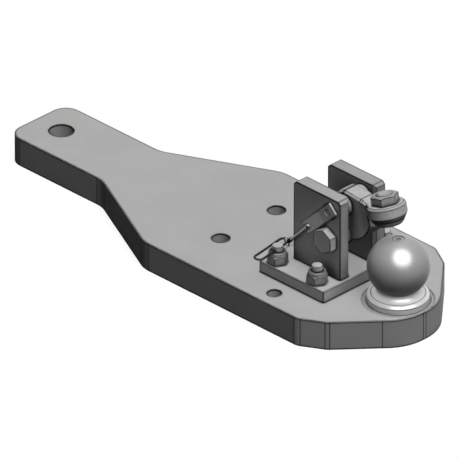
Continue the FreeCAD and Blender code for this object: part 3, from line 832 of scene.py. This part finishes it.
@dataclass
class WireTether:
    """The stranded wire between the loop on the stud and the strap's notch.

    It is made along Z with its eye at the origin, then turned and moved to its place.
    Shares are of the radius that each belongs to.
    """

    # Painted shade darkens the lower half of each strand, under a light top.
    wire: Steel = field(default_factory=lambda: Steel(
        "tether_strand", tone=235, dark=210, patch=4 * MM, edge_gain=0.0, corner_shade_reach=0.6 * MM, corner_shade=0.6,
        recess_shade=0.0, specular=0.1, under=0.95, under_band=(0.15, 0.5)))
    sleeve: Steel = field(default_factory=lambda: Steel(
        "tether_sleeve", tone=36, dark=26, patch=4 * MM, edge_gain=0.0, corner_shade_reach=1.5 * MM))
    eye: Vector = Vector((448.336, -41.860, 75.824)) * MM
    ball: Vector = Vector((490.707, -46.439, 118.917)) * MM
    loop_wire: Vector = Vector((0.1074, 0.9942, 0.0))
    hook: Vector = Vector((447.427, -41.762, 74.9)) * MM
    strands: int = 6
    strand_sides: int = 10
    wire_radius: float = 2.0 * MM
    core_share: float = 0.45
    core_sides: int = 12
    lay: float = 20 * MM
    steps_per_turn: int = 20
    ball_radius: float = 2.8 * MM
    ball_steps: int = 12
    ball_end_angle: float = 176.0
    neck_share: float = 1.1
    neck_length: float = 1.0 * MM
    eye_radius: float = 4.2 * MM
    eye_wire: float = 1.1 * MM
    eye_sides: int = 44
    eye_wire_sides: int = 14
    eye_drawn_from: float = 0.55
    eye_drawn_to: float = 0.8
    eye_smoothing: float = 0.3
    sleeve_radius: float = 3.0 * MM
    sleeve_length: float = 8.0 * MM
    lip_share: float = 0.8
    lip_length: float = 0.5 * MM
    crimps: int = 2
    crimp_share: float = 0.86
    crimp_half: float = 0.5 * MM
    crimp_flank: float = 0.9 * MM

    def strand(self, start: float, length: float, index: int) -> bpy.types.Object:
        """Wind one strand along Z about the rope's middle.

        Args:
            start: Height where it starts.
            length: How far it runs.
            index: Which of the strands it is.

        Returns:
            The strand's object.
        """
        radius = self.wire_radius / 3
        select_nothing()
        bpy.ops.mesh.primitive_circle_add(
            vertices=self.strand_sides, radius=radius, location=(0, 0, 0))
        strand = bpy.context.object
        turned = Matrix.Rotation(2 * math.pi * index / self.strands, 4, "Z")
        strand.data.transform(turned @ Matrix.Translation((2 * radius, 0, start)))
        turns = length / self.lay
        bpy.ops.object.modifier_add(type="SCREW")
        screw = strand.modifiers[-1]
        screw.angle = 2 * math.pi * turns
        screw.screw_offset = length
        screw.steps = screw.render_steps = max(2, round(turns * self.steps_per_turn))
        bpy.ops.object.modifier_apply(modifier=screw.name)
        bpy.ops.object.mode_set(mode="EDIT")
        bpy.ops.mesh.select_all(action="SELECT")
        bpy.ops.mesh.fill_holes(sides=0)
        bpy.ops.mesh.normals_make_consistent(inside=False)
        bpy.ops.object.mode_set(mode="OBJECT")
        bpy.ops.object.shade_smooth()
        return strand

    def crimped_sleeve(self, start: float) -> bpy.types.Object:
        """The pressed sleeve that closes the eye, with a waist at each bite of the tool.

        Args:
            start: Height where it starts.

        Returns:
            The sleeve.
        """
        end = start + self.sleeve_length
        outer = self.sleeve_radius
        waist, lip = outer * self.crimp_share, outer * self.lip_share
        rings = [(start, lip), (start + self.lip_length, outer)]
        pitch = self.sleeve_length / (self.crimps + 1)
        for crimp in range(1, self.crimps + 1):
            middle = start + crimp * pitch
            rings += [(middle - self.crimp_flank, outer), (middle - self.crimp_half, waist),
                      (middle + self.crimp_half, waist), (middle + self.crimp_flank, outer)]
        return turn("sleeve", rings + [(end - self.lip_length, outer), (end, lip)], ROUND_SIDES)

    def swaged_ball(self, middle: float) -> bpy.types.Object:
        """The pressed ball on the wire's end, with its short neck.

        Args:
            middle: Height of the ball's centre.

        Returns:
            The ball.
        """
        neck = self.wire_radius * self.neck_share
        rings = [(middle - self.ball_radius - self.neck_length, neck)]
        low = math.asin(neck / self.ball_radius)
        sweep = math.radians(self.ball_end_angle) - low
        for step in range(self.ball_steps + 1):
            angle = low + sweep * step / self.ball_steps
            rings.append((middle - self.ball_radius * math.cos(angle), self.ball_radius * math.sin(angle)))
        return turn("ball", rings, ROUND_SIDES)

    def wire_eye(self) -> bpy.types.Object:
        """The eye round the loop's wire, drawn in towards its sleeve.

        Returns:
            The eye.
        """
        select_nothing()
        bpy.ops.mesh.primitive_torus_add(
            major_radius=self.eye_radius, minor_radius=self.eye_wire, major_segments=self.eye_sides,
            minor_segments=self.eye_wire_sides, location=(0, 0, 0), rotation=(0, math.pi / 2, 0))
        eye = bpy.context.object
        bpy.ops.object.transform_apply()
        shape = in_edit(eye)
        for vertex in shape.verts:
            vertex.select = vertex.co.z > self.eye_radius * self.eye_drawn_from
        shape.select_flush_mode()
        bpy.ops.transform.resize(value=(1, self.eye_drawn_to, 1), center_override=(0, 0, 0))
        bpy.ops.mesh.select_all(action="SELECT")
        bpy.ops.mesh.vertices_smooth(factor=self.eye_smoothing, repeat=1)
        bpy.ops.object.mode_set(mode="OBJECT")
        bpy.ops.object.shade_smooth()
        return eye

    def build(self) -> bpy.types.Object:
        """Make the rope with its eye, its sleeve and its swaged ball.

        Returns:
            The finished piece.
        """
        pull = (self.ball - self.eye).normalized()
        length = (self.ball - self.eye).length
        sleeve_start = self.eye_radius - self.eye_wire / 2
        wire_start = sleeve_start + self.sleeve_length / 2
        core = self.wire_radius * self.core_share
        bright = [self.strand(wire_start, length - wire_start, i) for i in range(self.strands)]
        bright.append(turn("core", [(wire_start, core), (length, core)], self.core_sides))
        bright += [self.swaged_ball(length), self.wire_eye()]
        dark = [self.crimped_sleeve(sleeve_start)]
        for group, finish in ((bright, self.wire), (dark, self.sleeve)):
            material = finish.material()
            for part in group:
                part.data.materials.append(material)
        select_nothing()
        for part in bright + dark:
            part.select_set(True)
        bpy.context.view_layer.objects.active = bright[0]
        bpy.ops.object.join()
        rope = bpy.context.object
        rope.name = "wire_tether"
        across = pull.cross(self.loop_wire).normalized()
        turned = Matrix((across.cross(pull), across, pull)).transposed().to_4x4()
        rope.data.transform(Matrix.Translation(self.eye) @ turned)
        return rope


@dataclass(frozen=True)
class Corner:
    """One rounded corner of the plate's outline, in millimetres from the tail bore."""

    along: float
    across: float
    radius: float


@dataclass
class Drawbar:
    """The flame-cut plate, with one side's corners from its tail to its nose."""

    tail: Corner = Corner(-45.0, 52.5, 22.0)
    tail_bend: Corner = Corner(126.5, 52.5, 40.0)
    wide_bend: Corner = Corner(274.5, 125.0, 40.0)
    shoulder: Corner = Corner(547.5, 125.0, 18.0)
    knee: Corner = Corner(582.5, 105.25, 18.0)
    nose_bend: Pair = (628.6, 53.5)
    nose_front: Pair = (650.5, 2.3)

    def turns(self) -> tuple[Pair, ...]:
        """Where the torch went into each bend and out of it, along one side.

        Returns:
            The places, in millimetres from the tail bore.
        """
        corners = (self.tail, self.tail_bend, self.wide_bend, self.shoulder, self.knee)
        run = [Vector((corner.along, corner.across)) for corner in corners]
        run = [Vector((self.tail.along, -self.tail.across)), *run, Vector(self.nose_bend)]
        places: list[Pair] = []
        for corner, before, here, after in zip(corners, run, run[1:], run[2:]):
            arriving, leaving = (here - before).normalized(), (after - here).normalized()
            reach = corner.radius * math.tan(arriving.angle(leaving) / 2)
            places += [tuple(here - arriving * reach), tuple(here + leaving * reach)]
        return (*places, self.nose_bend, self.nose_front)

    def build(self, nodes: Nodes) -> None:
        """Dress the plate.

        Args:
            nodes: All CAD nodes by name.
        """
        dress(nodes, ["drawbar_plate"], FlameCutPlate(
            "plate_satin_steel", tone=177, dark=170, edge_width=5 * MM, edge_gain=18.0, recess_shade=0.15,
            turns=self.turns()))


@dataclass
class TowBall:
    """The forged ball and the ring nut that holds it."""

    # Painted shade darkens the ball's lower half, and a painted highlight brightens its flange.
    ball: TurnedSteel = field(default_factory=lambda: TurnedSteel(
        "ball_turned_steel", tone=168, dark=162, roughness=0.3, roughness_spread=0.04, specular=0.1,
        edge_width=1.3 * MM, edge_gain=8.0, corner_shade=0.1, recess_shade=0.0, under=0.96, under_band=(-0.72, 0.18),
        centre=(603.5 * MM, 0.0, 40 * MM), lines=((34.7, 10.2), (40.24, 6.0))))
    nut: Steel = field(default_factory=lambda: Steel("ring_nut_steel", tone=140, dark=120))

    def build(self, nodes: Nodes) -> None:
        """Dress the ball and its nut."""
        dress(nodes, ["tow_ball"], self.ball)
        dress(nodes, ["ball_ring_nut"], self.nut)


@dataclass
class Bracket:
    """Base, cheeks, pivot bolt, thrust rings, studs and nuts."""

    block: Steel = field(default_factory=lambda: Steel("base_milled_steel", tone=180, dark=172, recess_shade=0.52))
    near: Steel = field(default_factory=lambda: Steel("near_cheek_steel", tone=174, dark=164, recess_shade=0.9))
    # A darker copy of the cheek steel with a longer reach of painted shade: the far cheek's painted shade.
    far: Steel = field(default_factory=lambda: Steel(
        "far_cheek_steel", tone=166, dark=156, recess_shade_reach=75 * MM, recess_shade=0.7))
    stud: PlatedSteel = field(default_factory=lambda: PlatedSteel(
        "zinc_stud", tone=188, dark=172, edge_width=2.4 * MM))
    nut: PlatedSteel = field(default_factory=lambda: PlatedSteel(
        "zinc_nut", tone=152, dark=132, corner_shade_reach=7 * MM, recess_shade_reach=35 * MM, recess_shade=0.9))
    lock: PlatedSteel = field(default_factory=lambda: PlatedSteel(
        "lock_nut_steel", tone=166, dark=146, corner_shade_reach=9 * MM, recess_shade_reach=40 * MM, recess_shade=0.95))
    bolt: PlatedSteel = field(default_factory=lambda: PlatedSteel("bright_bolt", tone=190, dark=176))

    def build(self, nodes: Nodes) -> None:
        """Dress the bracket's pieces.

        Args:
            nodes: All CAD nodes by name.
        """
        studs, nuts = ([name for name in nodes if name.startswith(kind)]
                       for kind in ("base_stud", "base_nut"))
        dress(nodes, ["bracket_base"], self.block)
        dress(nodes, ["near_cheek"], self.near)
        dress(nodes, ["far_cheek"], self.far)
        dress(nodes, studs, self.stud)
        dress(nodes, nuts + ["pivot_nut", "near_pivot_spacer", "far_pivot_spacer"], self.nut)
        dress(nodes, ["lock_nut"], self.lock)
        dress(nodes, ["pivot_bolt"], self.bolt)


@dataclass
class HoldDown:
    """The arm with its screw, pad, bush and lock pin."""

    # Painted shade lies in the arm's creases, on its hidden sides and on its undersides.
    cast: ForgedSteel = field(default_factory=lambda: ForgedSteel(
        "arm_forged_steel", tone=196, dark=178, patch=20 * MM, grain=1.2 * MM, grain_depth=0.06 * MM,
        under=0.85, under_band=(-0.4, 0.0), creases=((518.6, 4.6), (547.2, 2.0))))
    bush: Steel = field(default_factory=lambda: Steel("bush_bronze", tone=150, dark=130))
    machined: Steel = field(default_factory=lambda: Steel(
        "machined_steel", tone=176, dark=160, patch=10 * MM, edge_width=2.4 * MM, specular=0.04,
        corner_shade_reach=4 * MM, under=0.8))
    merge_within: float = 0.002 * MM
    smooth_angle: float = 12.0
    nose_from: float = 523 * MM
    flat_angle: float = 2.0
    level_rise: float = 0.9

    def arm(self, node: bpy.types.Object) -> None:
        """Copy the arm and crease it where the forging's faces meet.

        Args:
            node: The arm's CAD node.
        """
        arm = bpy.data.objects.new("arm_forging", node.data.copy())
        bpy.context.scene.collection.objects.link(arm)
        only(arm)
        bpy.ops.mesh.customdata_custom_splitnormals_clear()
        in_edit(arm)
        bpy.ops.mesh.select_all(action="SELECT")
        bpy.ops.mesh.remove_doubles(threshold=self.merge_within)
        bpy.ops.object.mode_set(mode="OBJECT")
        bpy.ops.object.shade_smooth_by_angle(angle=math.radians(self.smooth_angle))
        shape = in_edit(arm)
        bpy.ops.mesh.select_mode(type="EDGE")
        for edge in shape.edges:
            if len(edge.link_faces) != 2:
                continue
            level = all(face.normal.z > self.level_rise for face in edge.link_faces)
            bent = math.degrees(edge.calc_face_angle(0.0)) > self.flat_angle
            edge.select = level and bent and min(vertex.co.x for vertex in edge.verts) > self.nose_from
        bpy.ops.mesh.mark_sharp()
        bpy.ops.object.mode_set(mode="OBJECT")
        arm.data.materials.clear()
        arm.data.materials.append(self.cast.material())
        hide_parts("hold_down_arm")
        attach(arm, "plate")
        LOG.info("arm_forging replaces hold_down_arm")

    def build(self, nodes: Nodes) -> None:
        """Crease the arm and dress its pieces.

        Args:
            nodes: All CAD nodes by name.
        """
        self.arm(nodes["hold_down_arm"])
        dress(nodes, ["pivot_bush"], self.bush)
        dress(nodes, ["thrust_screw", "thrust_pad", "lock_pin"], self.machined)


@dataclass
class Tether:
    """The grip strap, the wire loop and the wire between them."""

    strap: Steel = field(default_factory=lambda: Steel(
        "strap_steel", tone=196, dark=180, patch=10 * MM, edge_width=2.0 * MM, specular=0.04,
        corner_shade_reach=3 * MM, corner_shade=0.2, recess_shade=0.3))
    loop: Steel = field(default_factory=lambda: Steel(
        "loop_wire", tone=44, dark=30, patch=5 * MM, edge_gain=0.0, corner_shade_reach=1.5 * MM, specular=0.04,
        roughness=0.35))
    rope: WireTether = field(default_factory=WireTether)

    def build(self, nodes: Nodes) -> None:
        """Dress the strap and the loop, and model the wire.

        Args:
            nodes: All CAD nodes by name.
        """
        dress(nodes, ["grip_strap"], self.strap)
        dress(nodes, ["tether_loop"], self.loop)
        rope = self.rope.build()
        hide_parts("tether_cable")
        tuple(self.rope.hook)
        tuple(self.rope.ball)
        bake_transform(rope)
        LOG.info("wire_tether replaces tether_cable")


def main() -> None:
    """Build the scene in order."""
    logging.basicConfig(level=logging.INFO, format="%(message)s")
    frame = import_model()
    nodes = frame["nodes"]
    Studio().build()
    for assembly in (Drawbar(), TowBall(), Bracket(), HoldDown(), Tether()):
        assembly.build(nodes)
        LOG.info("%s done", type(assembly).__name__)


if __name__ == "__main__":
    main()
